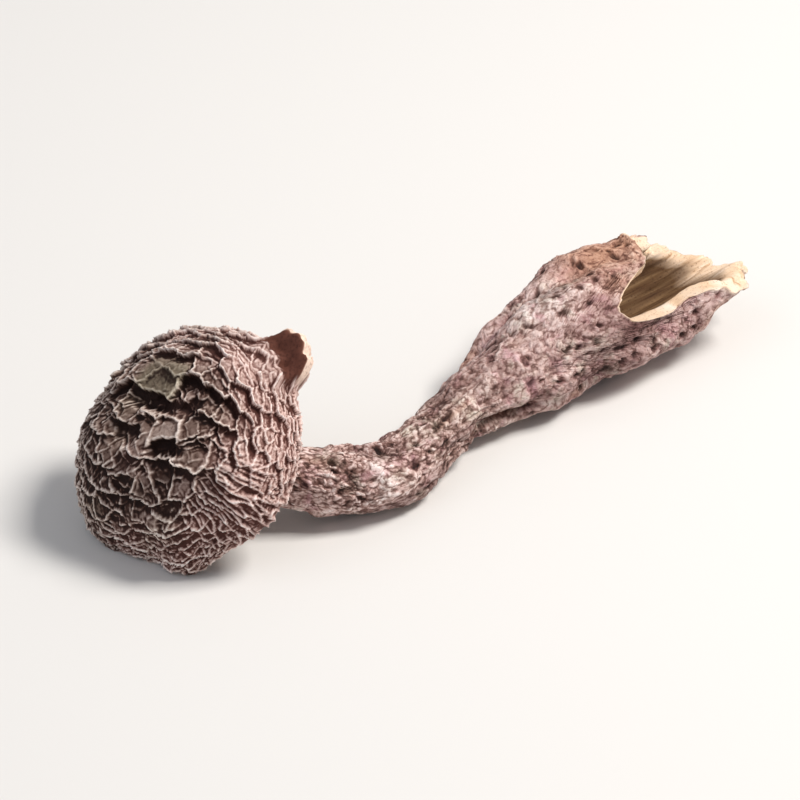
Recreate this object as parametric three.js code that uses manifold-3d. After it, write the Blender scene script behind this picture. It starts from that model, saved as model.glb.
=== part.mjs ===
// A dried mushroom lying on its side: a wrinkled grey-brown cap, its ring of ochre gills, and a bent
// stem that swells into a club and ends in a torn, cupped foot. Millimetres, +Z up.
// The shapes are worked out with the middle of the cap above the origin and the stem running along +X.
// The finished group is moved so that the origin is the middle of its footprint, on the floor.
import * as THREE from 'three';
import { mergeVertices } from 'three/addons/utils/BufferGeometryUtils.js';
import Module from 'manifold-3d';

const wasm = await Module();
wasm.setup();

// Driving dimensions of the cap
const CAP_MIDDLE = new THREE.Vector3(2.1, 0.8, 9.3); // middle of the rim plane
const CAP_FACING_AZIMUTH = 200; // degrees, where the top of the cap looks, seen from above
const CAP_FACING_ELEVATION = 45; // degrees above level
const CAP_RADIUS = 13.5;
const CAP_TOP = [ // half profile from the crown to the widest place: radius, height over the rim plane
  [0, 10.9], [3.6, 10.6], [7.0, 9.6], [10.0, 7.6], [12.3, 4.7], [CAP_RADIUS, 2.1],
];
const CAP_LIP = [[13.2, 0.6], [12.2, 0], [11.0, 0.7]]; // and on round the lip
const TOP_LENGTH = 17.3; // of the profile over the top
const LIP_LENGTH = 3.8; // of the profile round the lip
const UNDERSIDE_HEIGHT = 6.2; // of the flesh over the rim plane, at the middle
const CROWN_MESH = 3.3; // width of the meshes in the net of folds on the crown
const MARGIN_START = 5.5; // distance from the crown at which the meshes start to narrow
const SHINGLES = [ // the creased flats, coarse and fine: width in meshes, height, and height of their ridges
  { width: 1, height: 0.95, ridge: 0.36 },
  { width: 0.5, height: 0.28, ridge: 0.2 },
];
const FALL_TURN = 262; // degrees, the way in which the folds drop
const UPPER_RIGHT = 40; // the side where they drop in from the rim instead
const CRUMPLE = { size: 2.4, height: 0.14 }; // creases across the flats: how far apart, and up or down
const JOG = { size: 1.2, reach: 0.33 }; // zigzags of the folds
const HOLLOWS = [ // the crown's deepest folds: middle x and y, half length, half width, turn in degrees
  [-2.4, 1.7, 3.3, 0.9, 0],
  [1.8, -2.3, 2.2, 0.7, 25],
  [-3.5, -2.4, 1.7, 1.2, 0],
  [2.6, 3.2, 1.6, 0.8, 60],
];
const HOLLOW_DEPTH = 0.8;
const PLATES = [ // the crown's largest flat folds: middle x and y, half length, half width, turn in degrees
  [-2.8, 5.1, 2.9, 2.5, 0],
  [0.9, -0.3, 2.3, 1.3, 25],
  [1.4, -9.9, 2.5, 1.1, 21],
];
const PLATE_HEIGHT = 0.9;
const EAR = { angle: 64, width: 12.5, reach: 2.9 }; // a curled ear of the rim: its middle, half width, length

// Driving dimensions of the gills
const GILL_COUNT = 26; // long gills, with a short one between each two
const GILL_RING_RADIUS = 9.9;
const GILL_HOLE_RADIUS = 4.2; // round the stem
const GILL_DEPTH = 2.1;
const GILL_ROOT = 0.8; // thickness of the layer that the gills hang from
const STEM_SEAT = 1.7; // how far from the middle of the cap the stem meets it
const GAP = 0.35; // clear space between the cap's flesh and the gills

// Driving dimensions of the stem
const STEM_LINE = [ // x, y, z of the middle, half width, half height
  [-0.5, -1.7, 12.5, 3.3, 3.2],
  [1.9, -1.2, 9.9, 3.4, 3.3],
  [5.0, -2.8, 7.6, 3.5, 3.4],
  [10.9, -6.0, 5.7, 3.8, 3.6],
  [16.0, -8.1, 4.3, 4.3, 4.1],
  [21.7, -8.9, 3.8, 4.3, 4.0],
  [28.0, -7.3, 4.1, 4.0, 3.8],
  [35.7, -3.9, 4.4, 3.8, 3.6],
  [41.6, -2.6, 4.8, 5.1, 4.5],
  [47.7, -1.2, 5.9, 7.0, 5.9],
  [54.1, 0.1, 6.6, 8.3, 6.8],
  [61.2, 1.2, 6.9, 8.9, 7.2],
  [68.3, 1.7, 7.8, 8.7, 7.2],
  [74.0, 0.8, 10.2, 8.0, 6.8],
];
const STEM_FURROWS = 6;
const STEM_GRAIN = 2.4; // width of the lumps on the thin part of the stem
const CLUB_GRAIN = 3.6; // and on the thick part
const GRAIN_HEIGHT = 0.4;
const TEAR_SLANT = 5.0; // how far the long wall of the foot stands out, and the short wall falls back
const LONG_WALL_ANGLE = 297; // degrees round the stem, from its near side over the top
const TONGUE_REACH = 1.2; // of the tongue on the long wall
const NOTCH_ANGLE = 39; // where the wall is torn down, so that the pit shows
const NOTCH_DEPTH = 16;
const FOOT_PIT_DEPTH = 19; // from the end of the middle line down to the bottom of the pit
const FOOT_PROFILE = [ // over the torn edge and down the pit: share of the radius, of the tear, and depth
  [0.84, 1, 0.3], [0.62, 0.9, 2.2], [0.46, 0, FOOT_PIT_DEPTH - 0.5], [0.2, 0, FOOT_PIT_DEPTH],
];

const FOOTPRINT_MIDDLE = [34.6, 0.0];

// Mesh fineness
const CAP_DETAIL = 19; // subdivisions of the icosahedron that is wrapped onto the cap
const GILL_STEPS = 6; // round the ring, for each long gill and its short neighbour
const STEM_AROUND = 42;
const STEM_ALONG = 58;

const mix = (a, b, t) => a + (b - a) * t;
const degrees = (d) => (d * Math.PI) / 180;
const smoothstep = (low, high, x) => {
  const t = Math.min(1, Math.max(0, (x - low) / (high - low)));
  return t * t * (3 - 2 * t);
};

// 1 at one angle of a circle, fading to both sides of it. The angle is in radians, the rest in degrees.
const bulge = (angle, middle, width) => {
  const away = angle - degrees(middle);
  return Math.exp(-((Math.atan2(Math.sin(away), Math.cos(away)) / degrees(width)) ** 2));
};

// A smooth curve through rows of numbers, at u rows from the first one, and straight on past its ends.
function along(rows, u) {
  const i = Math.min(rows.length - 2, Math.max(0, Math.floor(u)));
  const t = u - i;
  const [b, c] = [rows[i], rows[i + 1]];
  const a = rows[i - 1] ?? b.map((v, k) => 2 * v - c[k]);
  const d = rows[i + 2] ?? c.map((v, k) => 2 * v - b[k]);
  if (t < 0) return b.map((v, k) => v + (t * (c[k] - a[k])) / 2);
  if (t > 1) return c.map((v, k) => v + ((t - 1) * (d[k] - b[k])) / 2);
  return b.map((v, k) => v + 0.5 * t * (c[k] - a[k]
    + t * (2 * a[k] - 5 * v + 4 * c[k] - d[k] + t * (3 * (v - c[k]) + d[k] - a[k]))));
}

// A repeatable number from 0 to 1 for a lattice cell.
function lot(i, j, k, salt) {
  let h = Math.imul(i, 374761393) + Math.imul(j, 668265263);
  h = (h + Math.imul(k, 1440662683) + Math.imul(salt, 1013904223)) | 0;
  h = Math.imul(h ^ (h >>> 13), 1274126177);
  return ((h ^ (h >>> 16)) >>> 0) / 4294967296;
}

// One point is thrown into each lattice cell. The result is the distance from (x, y, z) to the nearest.
function nearest(x, y, z, salt) {
  let first = 9;
  const [ci, cj, ck] = [x, y, z].map(Math.floor);
  for (let i = ci - 1; i <= ci + 1; i++)
    for (let j = cj - 1; j <= cj + 1; j++)
      for (let k = ck - 1; k <= ck + 1; k++) {
        const px = i + lot(i, j, k, salt);
        const py = j + lot(i, j, k, salt + 1);
        const pz = k + lot(i, j, k, salt + 2);
        first = Math.min(first, Math.hypot(px - x, py - y, pz - z));
      }
  return first;
}

// Cap

const facing = new THREE.Vector3(
  Math.cos(degrees(CAP_FACING_AZIMUTH)) * Math.cos(degrees(CAP_FACING_ELEVATION)),
  Math.sin(degrees(CAP_FACING_AZIMUTH)) * Math.cos(degrees(CAP_FACING_ELEVATION)),
  Math.sin(degrees(CAP_FACING_ELEVATION)),
);
const capSide = new THREE.Vector3(0, 0, 1).cross(facing).normalize(); // level, in the rim plane
const capUp = facing.clone().cross(capSide); // up the slope of the rim plane

// The rim isn't round. It is flat in places, hangs out on one side, and has a lobe and a curled ear.
const rimStretch = (angle) => 1 + 0.02 * Math.cos(3 * angle + 1.1) + 0.012 * Math.cos(5 * angle + 0.4)
  + 0.03 * bulge(angle, 85, 22) + 0.15 * bulge(angle, 250, 24) + 0.12 * bulge(angle, 296, 12);

// 1 across the ear, falling off steeply at its two sides.
const earShare = (angle, width = EAR.width) => {
  const away = angle - degrees(EAR.angle);
  return Math.exp(-((Math.atan2(Math.sin(away), Math.cos(away)) / degrees(width)) ** 4));
};

// How far the rim rises or dips as it goes round.
const rimWave = (angle) => 0.35 * Math.sin(2 * angle + 0.6) + 0.35 * Math.sin(3 * angle + 2.1)
  + 0.9 * bulge(angle, 62, 14) + 0.5 * bulge(angle, 296, 14);

// The place at an angle, radius and height over the rim plane, with the rim's own shape put on more and
// more towards the rim. A push then moves it outwards from the axis.
function fromRound(angle, radius, height, push = 0) {
  const rimShare = smoothstep(0, CAP_RADIUS, radius);
  const ear = EAR.reach * earShare(angle) * smoothstep(11.5, CAP_RADIUS, radius);
  const reach = radius * mix(1, rimStretch(angle), rimShare) + ear + push;
  return CAP_MIDDLE.clone()
    .addScaledVector(capSide, reach * Math.cos(angle))
    .addScaledVector(capUp, reach * Math.sin(angle))
    .addScaledVector(facing, height + rimShare * rimWave(angle));
}

// Height of the flesh that the gills hang from, over the rim plane.
const UNDERSIDE_RADIUS = CAP_LIP.at(-1)[0];
const undersideHeight = (radius) => {
  const inside = Math.max(0, 1 - (radius / (UNDERSIDE_RADIUS + 0.2)) ** 2);
  return 0.2 + UNDERSIDE_HEIGHT * inside ** 0.75;
};

// Half profile at a distance from the crown, over the top, round the lip and in underneath.
function capProfile(distance) {
  const rows = [...CAP_TOP, ...CAP_LIP];
  const topRows = CAP_TOP.length - 1;
  if (distance <= TOP_LENGTH) return along(rows, (topRows * distance) / TOP_LENGTH);
  const past = distance - TOP_LENGTH;
  if (past <= LIP_LENGTH) return along(rows, topRows + (CAP_LIP.length * past) / LIP_LENGTH);
  const radius = Math.max(0, UNDERSIDE_RADIUS - (past - LIP_LENGTH));
  return [radius, undersideHeight(radius)];
}

// Flat triangles between heights from -1 to 1 thrown on the corners of a lattice of triangles. The lattice
// is a square one, sheared by a share of x + y.
function facets(x, y, salt) {
  const shear = ((x + y) * (Math.sqrt(3) - 1)) / 2;
  const [i, j] = [Math.floor(x + shear), Math.floor(y + shear)];
  const [u, v] = [x + shear - i, y + shear - j];
  const thrown = (right, up) => 2 * lot(i + right, j + up, 0, salt) - 1;
  const aside = u > v ? thrown(1, 0) : thrown(0, 1);
  return (1 - Math.max(u, v)) * thrown(0, 0) + Math.abs(u - v) * aside + Math.min(u, v) * thrown(1, 1);
}

// Facets whose creases zigzag, because the place that they are read at is moved by finer facets.
function crumple(x, y, salt) {
  const [jogX, jogY] = [facets(1.7 * x, 1.7 * y, salt + 1), facets(1.7 * x, 1.7 * y, salt + 2)];
  return facets(x + 0.6 * jogX, y + 0.6 * jogY, salt);
}

// Places along and across a fold, whose middle and turn in degrees are given.
function turned(x, y, middleX, middleY, turn) {
  const [cos, sin] = [Math.cos(degrees(turn)), Math.sin(degrees(turn))];
  return [(x - middleX) * cos + (y - middleY) * sin, (y - middleY) * cos - (x - middleX) * sin];
}

// A flat fold that rises slowly from its far side and its left end, and drops off at its near side and its
// right end. The second number says how far inside it a point is.
function plate(x, y, [middleX, middleY, halfLength, halfWidth, turn]) {
  const [alongIt, acrossIt] = turned(x, y, middleX, middleY, turn);
  const fromEdge = Math.min(acrossIt + halfWidth, halfLength - alongIt);
  const inside = Math.min(1, Math.max(0, fromEdge / 0.4))
    * smoothstep(-halfWidth - 0.6, -halfWidth + 1, -acrossIt)
    * smoothstep(-halfLength - 0.6, -halfLength + 1, alongIt);
  const slope = 0.55 - (0.3 * acrossIt) / halfWidth + (0.15 * alongIt) / halfLength;
  return [PLATE_HEIGHT * inside * slope, inside];
}

// Flats tilted like shingles, one for each cell round a point thrown into each lattice square. Each rises
// along the fall from its own level. A wall slopes up from its border to a higher neighbour, and a ridge
// runs along every border.
function shingles(x, y, fallX, fallY, ridge, salt) {
  const [wallShare, ridgeShare] = [0.42, 0.4];
  let [first, second, level, nextLevel] = [9, 9, 0, 0];
  const [column, row] = [Math.floor(x), Math.floor(y)];
  for (let i = column - 1; i <= column + 1; i++)
    for (let j = row - 1; j <= row + 1; j++) {
      const own = [0, 1, 2, 3].map((k) => lot(i, j, 0, salt + k));
      const [awayX, awayY] = [x - i - 0.1 - 0.8 * own[0], y - j - 0.1 - 0.8 * own[1]];
      const d = Math.hypot(awayX, awayY);
      const here = (0.1 + 1.1 * own[2]) * (awayX * fallX + awayY * fallY) + own[3] - 0.5;
      if (d < first) [first, second, level, nextLevel] = [d, first, here, level];
      else if (d < second) [second, nextLevel] = [d, here];
    }
  const gap = second - first;
  const wall = Math.max(0, nextLevel - level) * Math.max(0, 1 - gap / wallShare) ** 2;
  return level + wall + ridge * Math.max(0, 1 - gap / ridgeShare);
}

// Height of the skin over the smooth dome, at a place laid out flat round the crown: shingled flats with
// zigzag edges, which are narrower and drawn out round the rim. The crown has deep folds and large plates
// and has sunk in beside its middle, and the ear at the rim is rolled up behind a crease.
function capRelief(angle, distance) {
  const [x, y] = [distance * Math.cos(angle), distance * Math.sin(angle)];
  const outward = Math.max(0, distance - MARGIN_START);
  const spread = (distance + outward ** 2 / 9) / Math.max(distance, 1e-6) / CROWN_MESH;
  const upperRight = Math.max(0, Math.cos(angle - degrees(UPPER_RIGHT)));
  const pull = 1.2 * smoothstep(7, 12, distance) * upperRight;
  const fall = [Math.cos(degrees(FALL_TURN)) - pull * Math.cos(angle),
    Math.sin(degrees(FALL_TURN)) - pull * Math.sin(angle)];
  const steep = Math.hypot(...fall);
  const jogX = crumple(x / JOG.size, y / JOG.size, 51);
  const jogY = crumple(x / JOG.size, y / JOG.size, 55);
  const [u, v] = [spread * (x + JOG.reach * jogX), spread * (y + JOG.reach * jogY)];
  let height = 0;
  SHINGLES.forEach((flat, k) => {
    const [fallX, fallY] = [fall[0] / steep, fall[1] / steep];
    height += flat.height * shingles(u / flat.width, v / flat.width, fallX, fallY, flat.ridge, 11 + 10 * k);
  });
  height *= mix(1, 0.7 - 0.2 * upperRight, smoothstep(8, 13, distance));
  height += CRUMPLE.height * crumple(x / CRUMPLE.size, y / CRUMPLE.size, 71);
  for (const [middleX, middleY, halfLength, halfWidth, turn] of HOLLOWS) {
    const [alongIt, acrossIt] = turned(x + 0.4 * jogX, y + 0.4 * jogY, middleX, middleY, turn);
    const inside = Math.exp(-((alongIt / halfLength) ** 4) - (acrossIt / halfWidth) ** 4);
    height = height * (1 - 0.5 * inside) - HOLLOW_DEPTH * inside;
  }
  for (const row of PLATES) {
    const [raised, inside] = plate(x + 0.25 * jogX, y + 0.25 * jogY, row);
    height = height * (1 - 0.75 * inside) + raised;
  }
  const hollow = Math.exp(-((x + 2.5) ** 2 + (y - 2) ** 2) / 16);
  const roll = earShare(angle, EAR.width - 1.5);
  const crease = Math.exp(-(((distance - 15.3) / 0.8) ** 2));
  const rolled = roll * (smoothstep(15.6, 17, distance) - 1.2 * crease);
  return height * (1 - 0.8 * roll * smoothstep(14.2, 15.2, distance)) - 0.9 * hollow + rolled;
}

// A point of the cap's skin. The wrinkles stand square to the profile and die out under the lip.
function capPoint(angle, distance) {
  const [radius, height] = capProfile(distance);
  const [r0, h0] = capProfile(distance - 0.05);
  const [r1, h1] = capProfile(distance + 0.05);
  const length = Math.hypot(r1 - r0, h1 - h0) || 1;
  const skinShare = 1 - smoothstep(TOP_LENGTH + 0.5, TOP_LENGTH + LIP_LENGTH, distance);
  const relief = skinShare * capRelief(angle, distance);
  return fromRound(angle, radius, height + (relief * (r1 - r0)) / length, (relief * (h0 - h1)) / length);
}

// An icosahedral ball is wrapped onto the cap. The share of the ball above a point gives the point's
// distance from the crown, so that the top, the lip and the underside each get their share of it.
function makeCap() {
  const [topShare, lipShare] = [0.63, 0.17];
  const underShare = 1 - topShare - lipShare;
  const distanceAt = (share) => {
    if (share <= topShare) return TOP_LENGTH * Math.sqrt(share / topShare);
    if (share <= topShare + lipShare) return TOP_LENGTH + (LIP_LENGTH * (share - topShare)) / lipShare;
    return TOP_LENGTH + LIP_LENGTH + UNDERSIDE_RADIUS * (1 - Math.sqrt((1 - share) / underShare));
  };
  const ball = new THREE.IcosahedronGeometry(1, CAP_DETAIL);
  const place = ball.attributes.position;
  for (let i = 0; i < place.count; i++) {
    const [x, y, z] = [place.getX(i), place.getY(i), place.getZ(i)];
    place.setXYZ(i, ...capPoint(Math.atan2(y, x), distanceAt((1 - z) / 2)));
  }
  return ball;
}

// Gills

// They run out from the stem: a long one, then a short one that starts halfway out. One closed sheet of
// rings goes out along their edges and back along the layer that they hang from.
function makeGills() {
  const count = GILL_COUNT * GILL_STEPS;
  const ring = (share, below) => Array.from({ length: count }, (_, i) => {
    const angle = (2 * Math.PI * i) / count;
    const reach = mix(GILL_HOLE_RADIUS, GILL_RING_RADIUS, share);
    const [x, y] = [mix(STEM_SEAT, 0, share) + reach * Math.cos(angle), reach * Math.sin(angle)];
    const wave = 0.5 + 0.5 * Math.cos(GILL_COUNT * angle);
    const crest = Math.max(wave, (1 - wave) * smoothstep(0.35, 0.6, share));
    const hang = GILL_ROOT + GILL_DEPTH * crest * (1 - smoothstep(0.75, 1.02, share));
    const radius = Math.hypot(x, y);
    return fromRound(Math.atan2(y, x), radius, undersideHeight(radius) - GAP - (below ? hang : 0));
  });
  const outwards = [0, 0.15, 0.38, 0.6, 0.82, 1];
  const rings = [...outwards.map((s) => ring(s, true)), ...outwards.toReversed().map((s) => ring(s, false))];
  return sheetOf(rings, true);
}

// Triangles between rings of points that each run once round: each ring is joined to the next, and the
// last to the first where the sheet is to close on itself.
function sheetOf(rings, closed, ends = []) {
  const count = rings[0].length;
  const points = [...rings.flat(), ...ends];
  const index = [];
  for (let j = 0; j < rings.length - (closed ? 0 : 1); j++)
    for (let i = 0; i < count; i++) {
      const next = (i + 1) % count;
      const above = ((j + 1) % rings.length) * count;
      const [a, b, c, d] = [j * count + i, j * count + next, above + i, above + next];
      if (closed) index.push(a, b, d, a, d, c);
      else index.push(a, d, b, a, c, d);
    }
  if (ends.length) {
    const [start, end, lastRing] = [points.length - 2, points.length - 1, (rings.length - 1) * count];
    for (let i = 0; i < count; i++) {
      const next = (i + 1) % count;
      index.push(start, i, next, end, lastRing + next, lastRing + i);
    }
  }
  const geometry = new THREE.BufferGeometry().setFromPoints(points);
  geometry.setIndex(index);
  return geometry;
}

// Stem

// Even steps of u along STEM_LINE, and the length of the middle line up to each.
const stemSteps = Array.from({ length: 401 }, (_, i) => (i * (STEM_LINE.length - 1)) / 400);
const stemLengths = [0];
for (let i = 1; i < stemSteps.length; i++) {
  const [from, to] = [stemSteps[i - 1], stemSteps[i]].map((u) => new THREE.Vector3(...along(STEM_LINE, u)));
  stemLengths.push(stemLengths[i - 1] + from.distanceTo(to));
}
const STEM_LENGTH = stemLengths.at(-1);

// The u at a distance along the stem, and straight on past its end.
function stemU(distance) {
  const past = stemLengths.findIndex((length) => length > distance);
  const i = past < 0 ? stemSteps.length - 1 : past;
  const t = (distance - stemLengths[i - 1]) / (stemLengths[i] - stemLengths[i - 1]);
  return mix(stemSteps[i - 1], stemSteps[i], t);
}

// How far furrows, swellings and lumps move the skin out.
function stemRelief(angle, distance, radius) {
  const share = distance / STEM_LENGTH;
  const wander = 0.35 * Math.sin(angle + 1.3) + 0.22 * Math.sin(2 * angle + distance / 8) + distance / 45;
  const furrow = Math.cos((STEM_FURROWS / 2) * (angle + wander)) ** 4;
  const fullDepth = mix(0.1, 0.2, smoothstep(0.45, 0.8, share));
  const depth = fullDepth * (0.75 + 0.35 * Math.sin(distance / 5.5 + 2 * angle));
  const slowSwell = 0.045 * Math.sin(distance / 3.4 + 1.5 * Math.sin(angle));
  const quickSwell = 0.03 * Math.sin(distance / 1.9 + 2 * angle);
  const grain = mix(STEM_GRAIN, CLUB_GRAIN, smoothstep(0.5, 0.8, share));
  const around = radius / grain;
  const away = nearest(around * Math.cos(angle), around * Math.sin(angle), distance / grain, 41);
  return radius * (slowSwell + quickSwell - depth * furrow) + GRAIN_HEIGHT * (0.55 - away);
}

// How far the torn edge of the foot stands out past the end of the middle line.
const tear = (angle) => TEAR_SLANT * Math.cos(angle - degrees(LONG_WALL_ANGLE))
  + TONGUE_REACH * bulge(angle, LONG_WALL_ANGLE - 22, 16) - NOTCH_DEPTH * bulge(angle, NOTCH_ANGLE, 33)
  + 0.6 * Math.sin(5 * angle + 0.7) + 0.4 * Math.sin(9 * angle + 2.0);

// A point of the stem: round it, at a distance along it, and at a share of its radius.
function stemPoint(angle, distance, share) {
  const u = stemU(distance);
  const [x, y, z, halfWidth, halfHeight] = along(STEM_LINE, u);
  const before = new THREE.Vector3(...along(STEM_LINE, u - 0.02));
  const forwards = new THREE.Vector3(...along(STEM_LINE, u + 0.02)).sub(before).normalize();
  const side = forwards.clone().cross(new THREE.Vector3(0, 0, 1)).normalize();
  const up = side.clone().cross(forwards);
  const relief = stemRelief(angle, distance, Math.sqrt(halfWidth * halfHeight));
  return new THREE.Vector3(x, y, z)
    .addScaledVector(side, share * (halfWidth + relief) * Math.cos(angle))
    .addScaledVector(up, share * (halfHeight + relief) * Math.sin(angle));
}

// Rings run from the cap to the torn edge, and on over it down into the pit of the foot.
function makeStem() {
  const ring = (share, distanceAt) => Array.from({ length: STEM_AROUND }, (_, i) => {
    const angle = (2 * Math.PI * i) / STEM_AROUND;
    return stemPoint(angle, distanceAt(angle), share);
  });
  const rings = Array.from({ length: STEM_ALONG + 1 }, (_, j) => {
    const t = j / STEM_ALONG;
    return ring(1, (angle) => STEM_LENGTH * t + tear(angle) * smoothstep(0.55, 1, t));
  });
  for (const [share, tearShare, depth] of FOOT_PROFILE)
    rings.push(ring(share, (angle) => STEM_LENGTH + tearShare * tear(angle) - depth));
  return sheetOf(rings, false, [stemPoint(0, 0, 0), stemPoint(0, STEM_LENGTH - FOOT_PIT_DEPTH, 0)]);
}

// Solids

function solidOf(geometry) {
  const bare = geometry.clone();
  bare.deleteAttribute('normal');
  bare.deleteAttribute('uv');
  const merged = mergeVertices(bare, 1e-4);
  return new wasm.Manifold(new wasm.Mesh({
    numProp: 3,
    vertProperties: new Float32Array(merged.attributes.position.array),
    triVerts: new Uint32Array(merged.index.array),
  }));
}

function meshOf(name, solid, color) {
  const { vertProperties, triVerts } = solid.getMesh();
  const geometry = new THREE.BufferGeometry();
  geometry.setAttribute('position', new THREE.BufferAttribute(vertProperties, 3));
  geometry.setIndex(new THREE.BufferAttribute(triVerts, 1));
  geometry.computeVertexNormals();
  const material = new THREE.MeshStandardMaterial({ color, roughness: 0.85, metalness: 0 });
  const mesh = new THREE.Mesh(geometry, material);
  mesh.name = name;
  mesh.position.set(-FOOTPRINT_MIDDLE[0], -FOOTPRINT_MIDDLE[1], 0);
  return mesh;
}

// What reaches below the floor is pared off, which leaves the small flat spots that the mushroom lies on.
const underFloor = solidOf(new THREE.BoxGeometry(300, 300, 40).translate(0, 0, -20));
const group = new THREE.Group();
group.add(meshOf('cap', solidOf(makeCap()).subtract(underFloor), 0x8a756b));
group.add(meshOf('gills', solidOf(makeGills()), 0xc09a68));
group.add(meshOf('stem', solidOf(makeStem()).subtract(underFloor), 0xae8f82));

export default group;
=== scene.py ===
import math

import bpy
import numpy as np
from mathutils import Matrix, Vector


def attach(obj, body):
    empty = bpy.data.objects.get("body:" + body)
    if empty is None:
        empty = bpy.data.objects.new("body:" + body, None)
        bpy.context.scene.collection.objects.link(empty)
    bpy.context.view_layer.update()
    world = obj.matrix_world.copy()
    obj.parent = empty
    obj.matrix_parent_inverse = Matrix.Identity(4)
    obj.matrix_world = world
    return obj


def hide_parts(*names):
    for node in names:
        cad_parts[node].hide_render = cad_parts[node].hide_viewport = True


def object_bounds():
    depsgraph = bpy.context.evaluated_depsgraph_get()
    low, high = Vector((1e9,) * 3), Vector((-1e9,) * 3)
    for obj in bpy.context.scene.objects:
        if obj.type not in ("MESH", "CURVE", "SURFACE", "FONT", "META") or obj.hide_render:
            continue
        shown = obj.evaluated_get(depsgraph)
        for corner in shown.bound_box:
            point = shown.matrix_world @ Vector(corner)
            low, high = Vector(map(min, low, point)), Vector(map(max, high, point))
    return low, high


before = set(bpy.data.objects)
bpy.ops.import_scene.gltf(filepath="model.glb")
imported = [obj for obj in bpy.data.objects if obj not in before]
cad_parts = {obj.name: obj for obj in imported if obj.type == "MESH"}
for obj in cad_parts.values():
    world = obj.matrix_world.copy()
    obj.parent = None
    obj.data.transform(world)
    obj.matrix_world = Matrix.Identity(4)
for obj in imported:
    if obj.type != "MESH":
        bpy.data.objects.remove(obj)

cad_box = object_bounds()

# The cap
# A dome of flesh that shrank as it dried, so that its thin skin crumpled into a raised net of wrinkles:
# wide meshes with flat floors on the crown, and narrow ones drawn out round the rim. The skin is one
# closed surface, worked out in millimetres round the middle of the rim plane.

MM = 0.001
FOOTPRINT_MIDDLE = np.array([34.6, 0.0, 0.0])  # the frame's origin, in the millimetres used here
CAP_MIDDLE = np.array([2.1, 0.8, 9.3])  # the middle of the rim plane
CAP_AZIMUTH, CAP_ELEVATION = math.radians(200), math.radians(45)  # where the crown looks
CAP_RADIUS = 13.5
CAP_ROWS = np.array([  # half profile from the crown over the top and round the lip: radius, height
    [0, 10.9], [3.6, 10.6], [7.0, 9.6], [10.0, 7.6], [12.3, 4.7], [CAP_RADIUS, 2.1],
    [13.2, 0.6], [12.2, 0.0], [11.0, 0.7],
])
TOP_ROWS, LIP_ROWS = 5, 3  # steps of that profile over the top and round the lip
TOP_LENGTH, LIP_LENGTH = 17.3, 3.8  # and how long these two stretches are
UNDERSIDE_RADIUS, UNDERSIDE_HEIGHT = 11.0, 6.2  # of the bowl that the gills hang in
CROWN_MESH = 3.3  # width of the wide meshes of the net
MARGIN_START = 5.5  # distance from the crown at which the meshes start to narrow
SHINGLES = [[1, 0.95, 0.26], [0.5, 0.28, 0.2]]  # width in meshes, height and lip of the creased flats
PLATES = [  # middle, half length, half width and turn in degrees of the crown's largest flat folds
    [-2.8, 5.1, 2.9, 2.5, 0], [0.9, -0.3, 2.3, 1.3, 25], [1.4, -9.9, 2.5, 1.1, 21],
]
PLATE_HEIGHT = 0.9
HOLLOWS = [  # middle, half length, half width and turn in degrees of the crown's deepest folds
    [-2.4, 1.7, 3.3, 0.9, 0], [1.8, -2.3, 2.2, 0.7, 25], [-3.5, -2.4, 1.7, 1.2, 0], [2.6, 3.2, 1.6, 0.8, 60],
]
HOLLOW_DEPTH = 0.8
SUNK_PLACE, SUNK_DEPTH = (-2.5, 2), 0.9  # where the crown has sunk in beside its middle
ZIGZAG_SIZE, ZIGZAG_REACH = 1.2, 0.33  # of the zigzags in the edges of the flats
BUCKLE_SIZE, BUCKLE_HEIGHT = 2.4, 0.14
RAYS_ANGLE, RAYS_WIDTH, RAYS_HEIGHT = 335, 24, 0.55  # the side with creases that run straight out
EAR_ANGLE, EAR_WIDTH, EAR_REACH = 64, 12.5, 2.9  # a curled ear of the rim: middle, half width, length
EAR_CREASE, CREASE_WIDTH, CREASE_DEPTH = 15.3, 0.8, 1.2  # behind the ear, at a distance from the crown
FALL_TURN = math.radians(262)  # the way in which the folds lean over
UPPER_RIGHT = math.radians(40)  # the side where they lean in from the rim instead
LEAN = 0.35  # how far they lean for each millimetre of height
CREST_REACH = 0.25  # how far round a point the mean height is taken that a crest stands above


def smoothstep(low, high, x):
    """0 below low and 1 above high, with the curve 3t^2 - 2t^3 between them."""
    t = np.clip((x - low) / (high - low), 0, 1)
    return t * t * (3 - 2 * t)


def mix(a, b, t):
    """a where t is 0, b where it is 1, and between them on a straight line."""
    return a + (b - a) * t


def bulge(angle, middle, width):
    """1 at the middle angle, falling off as exp(-(d / width)^2) at d degrees to either side."""
    away = angle - math.radians(middle)
    return np.exp(-((np.arctan2(np.sin(away), np.cos(away)) / math.radians(width)) ** 2))


def along(rows, u):
    """Catmull-Rom curve through rows of numbers at u rows from the first, and straight on past its ends."""
    rows = np.asarray(rows, float)
    padded = np.vstack([2 * rows[0] - rows[1], rows, 2 * rows[-1] - rows[-2]])
    i = np.clip(np.floor(u).astype(int), 0, len(rows) - 2)
    t = (u - i)[..., None]
    a, b, c, d = (padded[i + k] for k in range(4))
    inside = b + 0.5 * t * (c - a + t * (2 * a - 5 * b + 4 * c - d + t * (3 * (b - c) + d - a)))
    return np.where(t < 0, b + t * (c - a) / 2, np.where(t > 1, c + (t - 1) * (d - b) / 2, inside))


def lot(i, j, k, salt):
    """A repeatable number from 0 to 1 for lattice cell (i, j, k): a sum of large odd multiples of the
    cell's place, with its high bits folded down and multiplied out again."""
    total = i * 374761393 + j * 668265263 + k * 1440662683 + salt * 1013904223
    h = total.astype(np.int64).astype(np.uint32)
    h = (h ^ (h >> np.uint32(13))) * np.uint32(1274126177)
    return (h ^ (h >> np.uint32(16))) / 4294967296


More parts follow.
